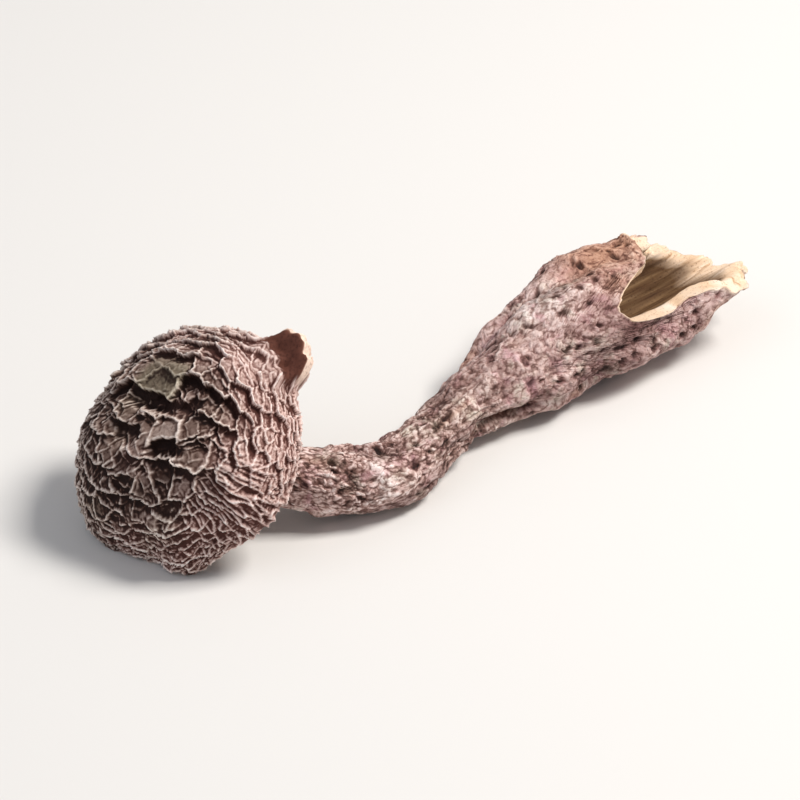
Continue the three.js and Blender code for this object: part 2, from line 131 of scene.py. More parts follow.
def cloud(x, y, z, salt):
    """Smooth noise, mostly from -1 to 1. Each lattice corner has a slope of its own, and the heights that
    these give at a point are blended by 6t^5 - 15t^4 + 10t^3 of its place between the corners."""
    x, y, z = np.broadcast_arrays(x, y, z)
    corner = [np.floor(v).astype(np.int64) for v in (x, y, z)]
    part = [v - c for v, c in zip((x, y, z), corner)]
    weight = [t * t * t * (t * (6 * t - 15) + 10) for t in part]
    total = np.zeros(x.shape)
    for shift in np.ndindex(2, 2, 2):
        at = [c + s for c, s in zip(corner, shift)]
        share = np.prod([w if s else 1 - w for w, s in zip(weight, shift)], axis=0)
        for axis in range(3):
            total += share * (2 * lot(*at, salt + axis) - 1) * (part[axis] - shift[axis])
    return 2 * total


def creases(x, y, z, salt, sharpness=2.5):
    """Sharp lines where smooth noise passes through 0: (1 - sharpness |noise|)^1.5, and 0 away from them."""
    return np.maximum(0, 1 - sharpness * np.abs(cloud(x, y, z, salt))) ** 1.5


cap_facing = np.array([math.cos(CAP_AZIMUTH) * math.cos(CAP_ELEVATION),
                       math.sin(CAP_AZIMUTH) * math.cos(CAP_ELEVATION), math.sin(CAP_ELEVATION)])
cap_side = np.cross([0, 0, 1], cap_facing)
cap_side /= np.linalg.norm(cap_side)
cap_up = np.cross(cap_facing, cap_side)


def rim_stretch(angle):
    """The rim's radius over the round one: two slow waves, a side that hangs out at 250 degrees and a
    lobe at 296."""
    return (1 + 0.02 * np.cos(3 * angle + 1.1) + 0.012 * np.cos(5 * angle + 0.4)
            + 0.03 * bulge(angle, 85, 22) + 0.15 * bulge(angle, 250, 24) + 0.12 * bulge(angle, 296, 12))


def ear_share(angle, width=EAR_WIDTH):
    """1 across the ear, falling off steeply at its sides, as exp(-(d / width)^4) at d degrees."""
    away = angle - math.radians(EAR_ANGLE)
    return np.exp(-((np.arctan2(np.sin(away), np.cos(away)) / math.radians(width)) ** 4))


def rim_wave(angle):
    """How far the rim rises and dips as it goes round."""
    return (0.35 * np.sin(2 * angle + 0.6) + 0.35 * np.sin(3 * angle + 2.1)
            + 0.9 * bulge(angle, 62, 14) + 0.5 * bulge(angle, 296, 14))


def from_round(angle, radius, height, push=0):
    """Frame position, in mm, of an angle, radius and height over the rim plane, with the rim's stretch
    and wave put on by a smoothstep of the radius, the ear near the rim alone, and then a push away from
    the axis."""
    rim_share = smoothstep(0, CAP_RADIUS, radius)
    ragged_edge = 1 + 0.09 * np.sin(34 * angle + 1.2) + 0.05 * np.sin(71 * angle)
    ear = EAR_REACH * ear_share(angle) * ragged_edge * smoothstep(11.5, CAP_RADIUS, radius)
    reach = radius * mix(1, rim_stretch(angle), rim_share) + ear + push
    lift = height + rim_share * rim_wave(angle)
    return (CAP_MIDDLE - FOOTPRINT_MIDDLE + (reach * np.cos(angle))[..., None] * cap_side
            + (reach * np.sin(angle))[..., None] * cap_up + lift[..., None] * cap_facing)


def underside_height(radius):
    """Height of the flesh that the gills hang from: a bowl, (1 - r^2)^0.75, that comes down to the lip."""
    inside = np.maximum(0, 1 - (radius / (UNDERSIDE_RADIUS + 0.2)) ** 2)
    return 0.2 + UNDERSIDE_HEIGHT * inside ** 0.75


def cap_profile(distance):
    """Radius and height at a distance from the crown: over the top, round the lip and in underneath."""
    past = distance - TOP_LENGTH
    u = np.where(past <= 0, TOP_ROWS * distance / TOP_LENGTH, TOP_ROWS + LIP_ROWS * past / LIP_LENGTH)
    outside = along(CAP_ROWS, np.minimum(u, TOP_ROWS + LIP_ROWS))
    radius = np.maximum(0, UNDERSIDE_RADIUS - (past - LIP_LENGTH))
    inside = np.stack([radius, underside_height(radius)], -1)
    return np.where((past <= LIP_LENGTH)[..., None], outside, inside)


def facets(x, y, salt):
    """Flat triangles between heights from -1 to 1 thrown on the corners of a lattice of triangles: the
    lattice is a square one sheared by a share of x + y, and each triangle's heights are blended by a
    point's shares of its three corners."""
    shear = (x + y) * (math.sqrt(3) - 1) / 2
    i, j = np.floor(x + shear).astype(np.int64), np.floor(y + shear).astype(np.int64)
    u, v = x + shear - i, y + shear - j
    start, end = (2 * lot(i + s, j + s, 0, salt) - 1 for s in (0, 1))
    aside = np.where(u > v, 2 * lot(i + 1, j, 0, salt) - 1, 2 * lot(i, j + 1, 0, salt) - 1)
    return (1 - np.maximum(u, v)) * start + np.abs(u - v) * aside + np.minimum(u, v) * end


def crumple(x, y, salt):
    """Facets whose creases zigzag, because the place that they are read at is moved by finer facets."""
    jog_x, jog_y = facets(1.7 * x, 1.7 * y, salt + 1), facets(1.7 * x, 1.7 * y, salt + 2)
    return facets(x + 0.6 * jog_x, y + 0.6 * jog_y, salt)


def turned(x, y, middle_x, middle_y, turn):
    """Coordinates along and across something whose middle and turn in degrees are given."""
    turn = math.radians(turn)
    return ((x - middle_x) * math.cos(turn) + (y - middle_y) * math.sin(turn),
            (y - middle_y) * math.cos(turn) - (x - middle_x) * math.sin(turn))


def plate(x, y, middle_x, middle_y, half_length, half_width, turn):
    """A flat fold that rises slowly from its far side and its left end, as smoothsteps of the distance
    from them, and drops off at its near side and its right end. Also how far inside it a point is."""
    along_it, across_it = turned(x, y, middle_x, middle_y, turn)
    drop = np.clip(np.minimum(across_it + half_width, half_length - along_it) / 0.4, 0, 1)
    inside = drop * smoothstep(-half_width - 0.6, -half_width + 1, -across_it)
    inside *= smoothstep(-half_length - 0.6, -half_length + 1, along_it)
    slope = 0.55 - 0.3 * across_it / half_width + 0.15 * along_it / half_length
    return PLATE_HEIGHT * inside * slope, inside


def shingles(x, y, fall_x, fall_y, lip_height, salt):
    """Flats tilted like shingles, one for each cell round a point thrown into each lattice square. Each
    rises along the fall from its own level, and drops at its border to the next one with a raised lip,
    where the difference between the distances to the two nearest points comes down to 0."""
    column, row = np.floor(x).astype(np.int64), np.floor(y).astype(np.int64)
    first, second = np.full(x.shape, 9.0), np.full(x.shape, 9.0)
    level, next_level = np.zeros(x.shape), np.zeros(x.shape)
    for shift in np.ndindex(3, 3):
        i, j = column + shift[0] - 1, row + shift[1] - 1
        own = [lot(i, j, 0, salt + k) for k in range(4)]
        away_x, away_y = x - i - 0.1 - 0.8 * own[0], y - j - 0.1 - 0.8 * own[1]
        d = np.hypot(away_x, away_y)
        here = (0.1 + 1.1 * own[2]) * (away_x * fall_x + away_y * fall_y) + 1.0 * (own[3] - 0.5)
        nearer = d < first
        next_level = np.where(nearer, level, np.where(d < second, here, next_level))
        second = np.where(nearer, first, np.minimum(second, d))
        level = np.where(nearer, here, level)
        first = np.where(nearer, d, first)
    gap = second - first
    wall = np.maximum(0, next_level - level) * np.maximum(0, 1 - gap / 0.42) ** 2
    lip = np.maximum(0, 1 - gap / 0.16)
    return level + wall + lip_height * lip


def cap_relief(x, y):
    """Height of the skin over the smooth dome, at a place laid out flat round the crown. Two sizes of
    shingled flats with zigzag edges, wide on the crown and narrower towards the rim, where they are drawn
    out round it. The crown has its large plates and has sunk in beside its middle. The lower right has
    fine creases that run straight out, and the ear is crumpled and rolled up behind a crease."""
    distance, angle = np.hypot(x, y), np.arctan2(y, x)
    outward = np.maximum(0, distance - MARGIN_START)
    spread = (distance + outward ** 2 / 9) / np.maximum(distance, 1e-6) / CROWN_MESH
    upper_right = np.clip(np.cos(angle - UPPER_RIGHT), 0, 1)
    pull = 1.2 * smoothstep(7, 12, distance) * upper_right
    fall_x = math.cos(FALL_TURN) - pull * np.cos(angle)
    fall_y = math.sin(FALL_TURN) - pull * np.sin(angle)
    fall_x, fall_y = fall_x / np.hypot(fall_x, fall_y), fall_y / np.hypot(fall_x, fall_y)
    jog_x, jog_y = (crumple(x / ZIGZAG_SIZE, y / ZIGZAG_SIZE, salt) for salt in (51, 55))
    u, v = spread * (x + ZIGZAG_REACH * jog_x), spread * (y + ZIGZAG_REACH * jog_y)
    height = 0
    for k, (size, high, lip) in enumerate(SHINGLES):
        height = height + high * shingles(u / size, v / size, fall_x, fall_y, lip, 11 + 10 * k)
    height = height * mix(1, 0.7 - 0.2 * upper_right, smoothstep(8, 13, distance))
    height = height + BUCKLE_HEIGHT * crumple(x / BUCKLE_SIZE, y / BUCKLE_SIZE, 71)
    for middle_x, middle_y, half_length, half_width, turn in HOLLOWS:
        along_it, across_it = turned(x + 0.4 * jog_x, y + 0.4 * jog_y, middle_x, middle_y, turn)
        inside = np.exp(-((along_it / half_length) ** 4) - (across_it / half_width) ** 4)
        height = height * (1 - 0.5 * inside) - HOLLOW_DEPTH * inside
    for line in PLATES:
        raised, inside = plate(x + 0.25 * jog_x, y + 0.25 * jog_y, *line)
        height = height * (1 - 0.75 * inside) + raised
    sway = angle + 0.03 * cloud(3 * np.cos(angle), 3 * np.sin(angle), distance / 2.5, 65)
    rays = creases(17 * np.cos(sway), 17 * np.sin(sway), distance / 4, 53)
    ray_share = bulge(angle, RAYS_ANGLE, RAYS_WIDTH) * smoothstep(7, 10, distance)
    height = height * (1 - 0.75 * ray_share) + RAYS_HEIGHT * rays * ray_share
    sunk = np.exp(-((x - SUNK_PLACE[0]) ** 2 + (y - SUNK_PLACE[1]) ** 2) / 16)
    roll = ear_share(angle, EAR_WIDTH - 1.5)
    crease = CREASE_DEPTH * np.exp(-((distance - EAR_CREASE) / CREASE_WIDTH) ** 2)
    rolled = roll * (smoothstep(15.6, 17, distance) - crease)
    rolled += 0.3 * roll * smoothstep(14.5, 15.5, distance) * crumple(x / 0.9, y / 0.9, 57)
    return height * (1 - 0.8 * roll * smoothstep(14.2, 15.2, distance)) - SUNK_DEPTH * sunk + rolled


def cap_wrinkles(angle, distance):
    """The relief, and how near each point is to a crest, 0 to 1, as a tone of painted light and shade:
    more where it stands higher than the mean of four places round it, a painted highlight, and on the
    middle plate; less where it lies low, under the folds that lean over it and between the crests of the
    low side, which is painted shade and painted shadow."""
    x, y = distance * np.cos(angle), distance * np.sin(angle)
    height = cap_relief(x, y)
    ways = [(CREST_REACH, 0), (0, CREST_REACH), (-CREST_REACH, 0), (0, -CREST_REACH)]
    around = [cap_relief(x + way_x, y + way_y) for way_x, way_y in ways]
    uphill = [cap_relief(x - d * math.cos(FALL_TURN), y - d * math.sin(FALL_TURN)) for d in (0.5, 1.0)]
    # Painted highlight where a point stands above the mean round it, painted shade where it sits below.
    edge = np.clip((height - sum(around) / 4) / 0.12, -0.5, 1)
    # Painted shadow just below the folds that lean over, on their fall side.
    under = np.clip((np.maximum(*uphill) - height) / 0.6, 0, 1)
    # Painted shade over the low side of the cap, away from the key light.
    low = smoothstep(-0.3, 0.7, -np.sin(angle + 0.4)) * smoothstep(6, 12, distance)
    middle_plate = plate(x, y, *PLATES[1])[1]
    flat = 0.38 + 0.22 * middle_plate - 0.26 * low
    return height, np.clip(flat + (0.5 + 0.4 * low) * edge + 0.16 * height - 0.7 * under, 0, 1)


def cap_skin(angle, distance):
    """Position of the cap's surface. The wrinkles stand square to the profile, lean along it, and die out
    under the lip."""
    radius, height = np.moveaxis(cap_profile(distance), -1, 0)
    slope = cap_profile(distance + 0.05) - cap_profile(distance - 0.05)
    slope /= np.maximum(np.linalg.norm(slope, axis=-1, keepdims=True), 1e-9)
    wrinkle, crest = cap_wrinkles(angle, distance)
    wrinkle = wrinkle * (1 - smoothstep(TOP_LENGTH + 1, TOP_LENGTH + LIP_LENGTH, distance))
    place = from_round(angle, radius, height + wrinkle * slope[..., 0], -wrinkle * slope[..., 1])
    outward = np.cos(angle)[..., None] * cap_side + np.sin(angle)[..., None] * cap_up
    onward = np.cos(angle)[..., None] * cap_up - np.sin(angle)[..., None] * cap_side
    down_profile = slope[..., :1] * outward + slope[..., 1:] * cap_facing
    fall = angle - FALL_TURN
    lean = np.cos(fall)[..., None] * down_profile - np.sin(fall)[..., None] * onward
    leaning = LEAN * (1 - 0.7 * smoothstep(9, 14, distance)) * wrinkle
    return place + leaning[..., None] * lean, crest


def closed_mesh(name, place, attributes, caps):
    """A mesh over a grid of places whose columns run once round. Where caps is true, the first and last
    rows each close on a point, their mean. Otherwise the last row is joined to the first. Attributes
    are arrays of the grid's shape, kept as one number a vertex. Nothing goes below the floor."""
    rows, columns = place.shape[:2]
    place = place.reshape(-1, 3)
    place[:, 2] = np.maximum(place[:, 2], 0)
    grid = np.arange(rows * columns).reshape(rows, columns)
    if caps:
        ends = [place[grid[0]].mean(0), place[grid[-1]].mean(0)]
        place = np.vstack([place, ends])
    below = grid[:-1] if caps else grid
    above = grid[1:] if caps else np.roll(grid, -1, 0)
    quads = np.stack([below, np.roll(below, -1, 1), np.roll(above, -1, 1), above], -1).reshape(-1, 4)
    faces = quads.tolist()
    if caps:
        start, end = rows * columns, rows * columns + 1
        faces += np.stack([np.full(columns, start), np.roll(grid[0], -1), grid[0]], -1).tolist()
        faces += np.stack([np.full(columns, end), grid[-1], np.roll(grid[-1], -1)], -1).tolist()
    mesh = bpy.data.meshes.new(name)
    mesh.from_pydata(place * MM, [], faces)
    for label, values in attributes.items():
        values = values.ravel()
        if caps:
            values = np.append(values, [values[:columns].mean(), values[-columns:].mean()])
        layer = mesh.attributes.new(label, "FLOAT", "POINT")
        layer.data.foreach_set("value", values.astype(np.float32))
    mesh.shade_smooth()
    mesh.update()
    piece = bpy.data.objects.new(name, mesh)
    bpy.context.scene.collection.objects.link(piece)
    return piece


def linear(code, alpha=1.0):
    """An sRGB hex colour as the linear numbers that shaders take."""
    parts = [int(code[i:i + 2], 16) / 255 for i in (1, 3, 5)]
    return [v / 12.92 if v <= 0.04045 else ((v + 0.055) / 1.055) ** 2.4 for v in parts] + [alpha]


def add_node(tree, kind, links=None, inputs=None, stops=None, output=0, **settings):
    """Adds a node, sets its properties, its input values and the stops of its colour ramp, pairs of place
    and hex colour, and links other nodes' outputs to its inputs. Gives one of its own outputs."""
    node = tree.nodes.new("ShaderNode" + kind)
    for key, value in settings.items():
        setattr(node, key, value)
    for key, value in (inputs or {}).items():
        node.inputs[key].default_value = value
    for key, source in (links or {}).items():
        tree.links.new(source, node.inputs[key])
    if stops:
        elements = node.color_ramp.elements
        while len(elements) < len(stops):
            elements.new(0.5)
        for element, (place, code) in zip(elements, stops):
            element.position = place
            element.color = linear(code)
    return node.outputs[output]


def new_material(name, attributes=()):
    """An empty node material: itself, its tree, its Principled shader, and the named attributes."""
    material = bpy.data.materials.new(name)
    material.use_nodes = True
    tree = material.node_tree
    numbers = [add_node(tree, "Attribute", attribute_name=label, output="Fac") for label in attributes]
    return material, tree, tree.nodes["Principled BSDF"], *numbers


def coats(tree, tone, first, *others):
    """Colour laid on in coats, each shaded by the tone through its own stops. The first covers all, and
    each of the others covers by its share."""
    colour = add_node(tree, "ValToRGB", {"Fac": tone}, stops=first)
    for share, stops in others:
        coat = add_node(tree, "ValToRGB", {"Fac": tone}, stops=stops)
        colour = add_node(tree, "Mix", {0: share, 6: colour, 7: coat}, output=2, data_type="RGBA")
    return colour


def patches(tree, size_mm, low, high, detail=3.0, roughness=0.6):
    """Blotches of about the given size: noise on object coordinates, brought to 0 where it is at or below
    low and to 1 where it is at or above high."""
    coordinates = add_node(tree, "TexCoord", output="Object")
    noise = add_node(tree, "TexNoise", {"Vector": coordinates},
                     inputs={"Scale": 1 / (size_mm * MM), "Detail": detail, "Roughness": roughness})
    return add_node(tree, "MapRange", {"Value": noise}, inputs={"From Min": low, "From Max": high})


def mottled(tree, colour, size_mm, low, high, tint):
    """The colour with a tint multiplied in on blotches of that size, and the blotches themselves."""
    speckle = patches(tree, size_mm, low, high, detail=4.0, roughness=0.7)
    return add_node(tree, "Mix", {0: speckle, 6: colour}, inputs={7: linear(tint)}, output=2,
                    data_type="RGBA", blend_type="MULTIPLY"), speckle


def matt_finish(tree, shader, colour, relief, depth_mm, roughness):
    """Joins a colour and a fine bump of the given depth to a matt shader."""
    tree.links.new(colour, shader.inputs["Base Color"])
    bump = add_node(tree, "Bump", {"Height": relief}, inputs={"Strength": 0.6, "Distance": depth_mm * MM})
    tree.links.new(bump, shader.inputs["Normal"])
    shader.inputs["Roughness"].default_value = roughness
    shader.inputs["Specular IOR Level"].default_value = 0.3


def dried_cap_skin():
    """Cap skin dried to thin leather: matt, with painted highlights on the crests and painted shade in the
    folds, which are dark red-brown, paler and pinker towards the upper rim and lighter on the side the key
    light falls on, partly painted light, with a grey-green bloom on part of the crown. The curled ear shows
    red-brown flesh with a cream edge."""
    material, tree, shader, crest, rim_and_lit_side, bloom, ear, edge = new_material(
        "dried_cap_skin", ["crest", "rim_and_lit_side", "bloom", "ear", "edge"])
    # The crest tone paints highlights on the crests and shade in the folds; the rim coat is partly painted
    # light on the lit side.
    skin = coats(
        tree, crest,
        [(0.0, "#1f0903"), (0.2, "#3f251b"), (0.42, "#755f56"), (0.7, "#a8948a"), (1.0, "#e6d8cf")],
        (rim_and_lit_side, [(0.0, "#552f28"), (0.2, "#97726a"), (0.42, "#cfafa7"), (0.72, "#edd2cb"),
                   (1.0, "#fff3ee")]),
        (bloom, [(0.0, "#2a1a10"), (0.4, "#7c6f5e"), (1.0, "#d6cbb8")]),
    )
    flesh = coats(tree, edge, [(0.0, "#5e3529"), (0.5, "#8a5f4c"), (1.0, "#f6dccb")])
    skin = add_node(tree, "Mix", {0: ear, 6: skin, 7: flesh}, output=2, data_type="RGBA")
    colour, speckle = mottled(tree, skin, 0.35, 0.5, 0.75, "#a58f86")
    matt_finish(tree, shader, colour, speckle, 0.06, 0.82)
    return material


lip_end = TOP_LENGTH + LIP_LENGTH
top = np.linspace(0.12, TOP_LENGTH, 156)  # rows 0.11 mm apart, where the skin is seen best
lip = np.linspace(TOP_LENGTH, lip_end, 26)[1:]
under = np.linspace(lip_end, lip_end + UNDERSIDE_RADIUS - 0.15, 24)[1:]
round_cap = np.linspace(0, 2 * math.pi, 480, endpoint=False)
distance, angle = np.meshgrid(np.concatenate([top, lip, under]), round_cap, indexing="ij")
skin, crest = cap_skin(angle, distance)
x, y = distance * np.cos(angle), distance * np.sin(angle)
# Paler and pinker towards the rim, and most on the right, where the key light falls: partly the skin's own
# colour, partly painted light.
right = np.cos(angle - math.radians(15))
rim_and_lit_side = smoothstep(4, 13, distance) * (0.42 + 0.62 * right) + 0.25 * cloud(x / 4, y / 4, 0.5, 71)
rim_and_lit_side = np.clip(rim_and_lit_side, 0, 1)
scattered = 0.4 * smoothstep(0.3, 0.8, cloud(x / 5, y / 5, 0.5, 75))
bloom = np.clip(plate(x, y, *PLATES[0])[1] + scattered, 0, 1)
ear = smoothstep(0.15, 0.5, ear_share(angle)) * smoothstep(14.5, 15.1, distance)
ear *= 1 - smoothstep(17.9, 18.7, distance)
cap = closed_mesh("cap_flesh", skin, {
    "crest": crest, "rim_and_lit_side": rim_and_lit_side, "bloom": bloom * (1 - rim_and_lit_side), "ear": ear,
    "edge": smoothstep(16.7, 17.2, distance),
}, caps=True)
cap.data.materials.append(dried_cap_skin())
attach(cap, "root")
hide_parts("cap")

# The gills
# Thin blades of papery flesh that hang from the underside of the cap and run out from the stem to just
# short of the rim, with shorter ones between them. They dried stiff and ochre, with pale edges.

GILL_COUNT = 26
GILL_RING_RADIUS = 9.9
GILL_HOLE_RADIUS = 4.2
GILL_DEPTH = 2.1
GILL_ROOT = 0.8  # thickness of the layer that the gills hang from
STEM_SEAT = 1.7  # how far the stem stands off the cap's middle
GAP = 0.35  # between the gills' layer and the cap's flesh


def gill_hang(angle, share):
    """How far the flesh hangs below the cap at a share of the way out, and how near it is to a gill's
    edge. Long gills are narrow crests of a cosine, short ones fill in from 0.35 and the shortest from
    0.6 of the way out, and all of them run out towards the rim."""
    bent = angle + 0.02 * np.sin(7 * angle) + 0.012 * np.sin(17 * angle + 5 * share)
    turn = GILL_COUNT * bent
    long_gills = (0.5 + 0.5 * np.cos(turn)) ** 2.2
    short_gills = (0.5 - 0.5 * np.cos(turn)) ** 2.2 * smoothstep(0.35, 0.6, share)
    shortest = 0.75 * (0.5 - 0.5 * np.cos(2 * turn)) ** 2.5 * smoothstep(0.5, 0.8, share)
    crest = np.maximum(np.maximum(long_gills, short_gills), shortest)
    runs_out = 1 - smoothstep(0.75, 1.02, share)
    return GILL_ROOT + GILL_DEPTH * crest * runs_out, crest


def gill_sheet():
    """Rings from the stem out along the gills' edges, and back along the layer that they hang from, with
    how near each point is to a gill's edge."""
    out = np.linspace(0, 1, 34)
    columns = np.linspace(0, 2 * math.pi, 48 * GILL_COUNT, endpoint=False)
    share, angle = np.meshgrid(np.concatenate([out, out[::-1]]), columns, indexing="ij")
    reach = mix(GILL_HOLE_RADIUS, GILL_RING_RADIUS, share)
    x, y = mix(STEM_SEAT, 0, share) + reach * np.cos(angle), reach * np.sin(angle)
    hang, crest = gill_hang(angle, share)
    hang[len(out):] = 0
    radius = np.hypot(x, y)
    return from_round(np.arctan2(y, x), radius, underside_height(radius) - GAP - hang), crest


def dried_gill():
    """Gill flesh dried like parchment: matt ochre with pale edges, darker between the blades and towards the
    stem, which is painted shade.
    """
    material, tree, shader, crest = new_material("dried_gill", ["crest"])
    # Painted shade between the blades; the pale edges are the gills' own colour.
    colour = coats(tree, crest, [(0.0, "#6b4a30"), (0.4, "#9a7450"), (1.0, "#dcb98c")])
    colour, fibre = mottled(tree, colour, 0.5, 0.5, 0.75, "#b08c68")
    matt_finish(tree, shader, colour, fibre, 0.05, 0.75)
    return material


sheet, crest = gill_sheet()
gills = closed_mesh("gill_blades", sheet[::-1], {"crest": crest[::-1]}, caps=False)
gills.data.materials.append(dried_gill())
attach(gills, "root")
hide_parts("gills")

# The stem
# Tough, fibrous flesh that shrank to a leathery, grained skin. It bends under the cap, swells into a
# club and ends where it was torn from the ground, in a pit with one long wall and a ragged edge.

STEM_LINE = np.array([  # x, y, z of the middle, half width, half height
    [-0.5, -1.7, 12.5, 3.3, 3.2],
    [1.9, -1.2, 9.9, 3.4, 3.3],
    [5.0, -2.8, 7.6, 3.5, 3.4],
    [10.9, -6.0, 5.7, 3.8, 3.6],
    [16.0, -8.1, 4.3, 4.3, 4.1],
    [21.7, -8.9, 3.8, 4.3, 4.0],
    [28.0, -7.3, 4.1, 4.0, 3.8],
    [35.7, -3.9, 4.4, 3.8, 3.6],
    [41.6, -2.6, 4.8, 5.1, 4.5],
    [47.7, -1.2, 5.9, 7.0, 5.9],
    [54.1, 0.1, 6.6, 8.3, 6.8],
    [61.2, 1.2, 6.9, 8.9, 7.2],
    [68.3, 1.7, 7.8, 8.7, 7.2],
    [74.0, 0.8, 10.2, 8.0, 6.8],
])
STEM_FURROWS = 6
STEM_LUMP, CLUB_LUMP = 2.4, 3.6  # width of the large lumps on the thin part and on the thick part
LUMP_HEIGHT = 0.4
NECK_PLACE, NECK_REACH = 39, 8  # where the stem is thinnest, and how far its grooves run from there
FOLD_PLACE, FOLD_ANGLE = 46, -8  # the middle of a deep fold under the club
GRAIN_WIDTH, GRAIN_LENGTH = 0.75, 1.05
GRAIN_STRETCH = 1.5  # how much longer than wide the finest grains are
POCK_WIDTH, POCK_LENGTH = 1.5, 2.0  # of the lattice that the skin's small pits are thrown on
TEAR_SLANT = 5.0  # how far the end's long wall stands out, and its short wall in
LONG_WALL_ANGLE = 297
TONGUE_ANGLE, TONGUE_WIDTH, TONGUE_REACH = 275, 16, 1.2
NOTCH_ANGLE, NOTCH_WIDTH, NOTCH_DEPTH = 39, 33, 16
FOOT_PIT_DEPTH = 19
PIT_ROWS = np.array([  # over the torn edge and down the pit: share of the radius, share of the tear, depth
    [1.0, 1.0, 0.0], [0.84, 1.0, 0.3], [0.62, 0.9, 2.2],
    [0.46, 0.0, FOOT_PIT_DEPTH - 0.5], [0.2, 0.0, FOOT_PIT_DEPTH], [0.02, 0.0, FOOT_PIT_DEPTH],
])

stem_steps = np.linspace(0, len(STEM_LINE) - 1, 401)
stem_middle = along(STEM_LINE, stem_steps)[:, :3]
stem_lengths = np.concatenate([[0], np.cumsum(np.linalg.norm(np.diff(stem_middle, axis=0), axis=1))])
STEM_LENGTH = stem_lengths[-1]


def stem_u(distance):
    """Rows along STEM_LINE at a distance along the stem, and straight on past its end."""
    last = (stem_steps[-1] - stem_steps[-2]) / (stem_lengths[-1] - stem_lengths[-2])
    past = np.maximum(0, distance - STEM_LENGTH)
    return np.interp(distance, stem_lengths, stem_steps) + past * last


def cells(x, y, z, salt):
    """One point is thrown into each lattice cell. Gives the distance to the nearest and the second
    nearest of them, and a number from 0 to 1 that belongs to the nearest."""
    x, y, z = np.broadcast_arrays(x, y, z)
    corner = [np.floor(v).astype(np.int64) for v in (x, y, z)]
    first, second, own = np.full(x.shape, 9.0), np.full(x.shape, 9.0), np.zeros(x.shape)
    for shift in np.ndindex(3, 3, 3):
        i, j, k = (c + s - 1 for c, s in zip(corner, shift))
        away = np.stack([x - i - lot(i, j, k, salt), y - j - lot(i, j, k, salt + 1),
                         z - k - lot(i, j, k, salt + 2)], -1)
        d = np.linalg.norm(away, axis=-1)
        nearer = d < first
        second = np.where(nearer, first, np.minimum(second, d))
        own[nearer] = lot(i, j, k, salt + 3)[nearer]
        first = np.where(nearer, d, first)
    return first, second, own


def stem_folds(angle, distance, radius):
    """Furrows, a power of a cosine round the stem, slow and quick swellings along it, and large lumps."""
    share = distance / STEM_LENGTH
    twisted = angle + 0.35 * np.sin(angle + 1.3) + 0.22 * np.sin(2 * angle + distance / 8) + distance / 45
    furrow = np.cos(STEM_FURROWS / 2 * twisted) ** 4
    depth = mix(0.1, 0.2, smoothstep(0.45, 0.8, share)) * (0.75 + 0.35 * np.sin(distance / 5.5 + 2 * angle))
    swell = 0.045 * np.sin(distance / 3.4 + 1.5 * np.sin(angle)) + 0.03 * np.sin(distance / 1.9 + 2 * angle)
    lump = mix(STEM_LUMP, CLUB_LUMP, smoothstep(0.5, 0.8, share))
    around = radius / lump
    away = cells(around * np.cos(angle), around * np.sin(angle), distance / lump, 41)[0]
    return radius * (swell - depth * furrow) + LUMP_HEIGHT * (0.55 - away)


def neck_share(distance):
    """1 at the neck below the club, falling off as exp(-(d / reach)^2) at d mm along the stem."""
    return np.exp(-((distance - NECK_PLACE) / NECK_REACH) ** 2)


def stem_grain(angle, distance, radius):
    """Granular skin: lumps of 2.8 mm, drawn-out grains, each raised by a number of its own and domed,
    clusters of small pits, grooves along the neck below the club, and a deep fold under the club. Gives
    their height, and how dark each point is, 0 to 1, which paints light and shade: lighter on the raised
    grains and lumps, darker in the clefts, pits, grooves and fold."""
    x, y = radius * np.cos(angle), radius * np.sin(angle)
    warp = 0.5 * cloud(x / 1.4, y / 1.4, distance / 1.4, 81)
    first, second, own = cells((x + warp) / GRAIN_WIDTH, (y - warp) / GRAIN_WIDTH,
                               (distance + warp) / GRAIN_LENGTH, 83)
    away, _, chance = cells((x - warp) / POCK_WIDTH, (y + warp) / POCK_WIDTH, distance / POCK_LENGTH, 89)
    lumps = cloud(x / 2.8, y / 2.8, distance / 3.2, 87)
    rough = smoothstep(-0.5, 0.5, cloud(x / 5, y / 5, distance / 6, 91))
    rough *= 1 - 0.35 * smoothstep(36, 50, distance)
    clustered = 0.35 * cloud(x / 6, y / 6, distance / 7, 92)
    pock = smoothstep(0.44, 0.18, away) * smoothstep(0.45, 0.55, chance + clustered)
    neck = neck_share(distance)
    rough *= 1 - 0.5 * neck
    cleft = np.maximum(0, 1 - (second - first) / 0.25) * rough
    groove = creases(2.6 * np.cos(angle), 2.6 * np.sin(angle), distance / 11, 93, sharpness=4) * neck
    fold = bulge(angle, FOLD_ANGLE, 11) * np.exp(-((distance - FOLD_PLACE) / 4.5) ** 4)
    height = (0.26 * (own - 0.5) + 0.2 * (0.6 - first) - 0.12 * cleft) * mix(0.6, 1.2, rough)
    pock *= 1 - 0.7 * neck
    # Painted light and shade: raised grains and lumps lighter, clefts, pits, grooves and the fold darker.
    dark = 0.36 - 0.3 * (own - 0.5) + 0.5 * cleft - 0.15 * lumps + 0.65 * pock + 0.35 * groove + 0.6 * fold
    return height + 0.35 * lumps - 0.3 * pock - 0.4 * groove - 0.9 * fold, dark


def tear(angle):
    """How far the torn edge stands out past the end of the middle line: a slant, a tongue, a wide notch
    and teeth."""
    return (TEAR_SLANT * np.cos(angle - math.radians(LONG_WALL_ANGLE))
            + TONGUE_REACH * bulge(angle, TONGUE_ANGLE, TONGUE_WIDTH)
            - NOTCH_DEPTH * bulge(angle, NOTCH_ANGLE, NOTCH_WIDTH)
            + 0.6 * np.sin(5 * angle + 0.7) + 0.4 * np.sin(9 * angle + 2.0))


def ragged(angle):
    """Fibres that stick out of the torn edge, finer than its teeth."""
    ring_x, ring_y = 4.5 * np.cos(angle), 4.5 * np.sin(angle)
    return 0.5 * cloud(ring_x, ring_y, 0.5, 95) + 0.35 * cloud(3 * ring_x, 3 * ring_y, 0.5, 96)


